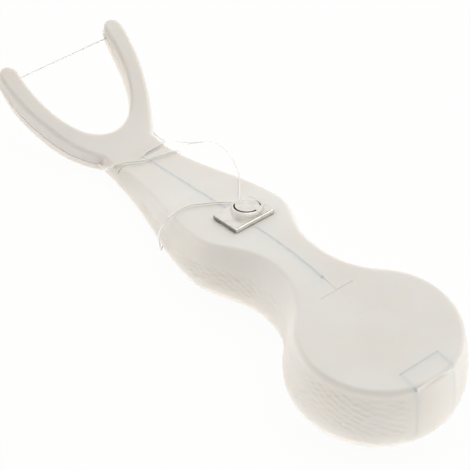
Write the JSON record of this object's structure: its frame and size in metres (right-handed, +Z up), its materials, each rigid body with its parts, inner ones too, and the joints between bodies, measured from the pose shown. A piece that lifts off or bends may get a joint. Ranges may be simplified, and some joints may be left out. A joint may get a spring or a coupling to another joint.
{
  "type": "refillable dental floss holder",
  "caption": "Palm-sized floss holder: a round drum with a hinged lid, a flared grip with a stamped cutter, and a raised two-armed fork that holds the floss taut.",
  "frame": {"origin": "on the table under the middle of the holder, halfway between the drum's rear and the fork's tips", "axes": "+X from the drum along the handle to the fork, +Y across it to the side with the loose loop, +Z up from the table"},
  "size_m": [0.1384, 0.039, 0.0181],
  "materials": {
    "white_plastic": "moulded, satin, with a fine grip texture on the side walls",
    "natural_plastic": "moulded, uncoloured",
    "bright_steel": "stamped thin sheet, bright",
    "waxed_floss": "lightly waxed filament"
  },
  "bodies": {
    "handle": {"handle_shell": "white_plastic", "base_cover": "white_plastic", "fork": "white_plastic", "cutter_plate": "bright_steel", "floss_feed": "waxed_floss", "floss_right_arm": "waxed_floss", "floss_span": "waxed_floss", "floss_left_arm": "waxed_floss", "floss_neck_wrap": "waxed_floss", "floss_loop": "waxed_floss", "floss_free_end": "waxed_floss"},
    "lid": {"drum_lid": "white_plastic"},
    "bobbin": {"bobbin": "natural_plastic", "floss_winding": "waxed_floss"}
  },
  "joints": [
    {"name": "lid_hinge", "type": "hinge", "parent": "handle", "child": "lid", "pos_m": [-0.0345, 0, 0.0012], "axis": [0, -1, 0], "range_deg": [0, 95]},
    {"name": "bobbin_spin", "type": "hinge", "parent": "handle", "child": "bobbin", "pos_m": [-0.0497, 0, 0.003], "axis": [0, 0, 1], "continuous": true}
  ]
}
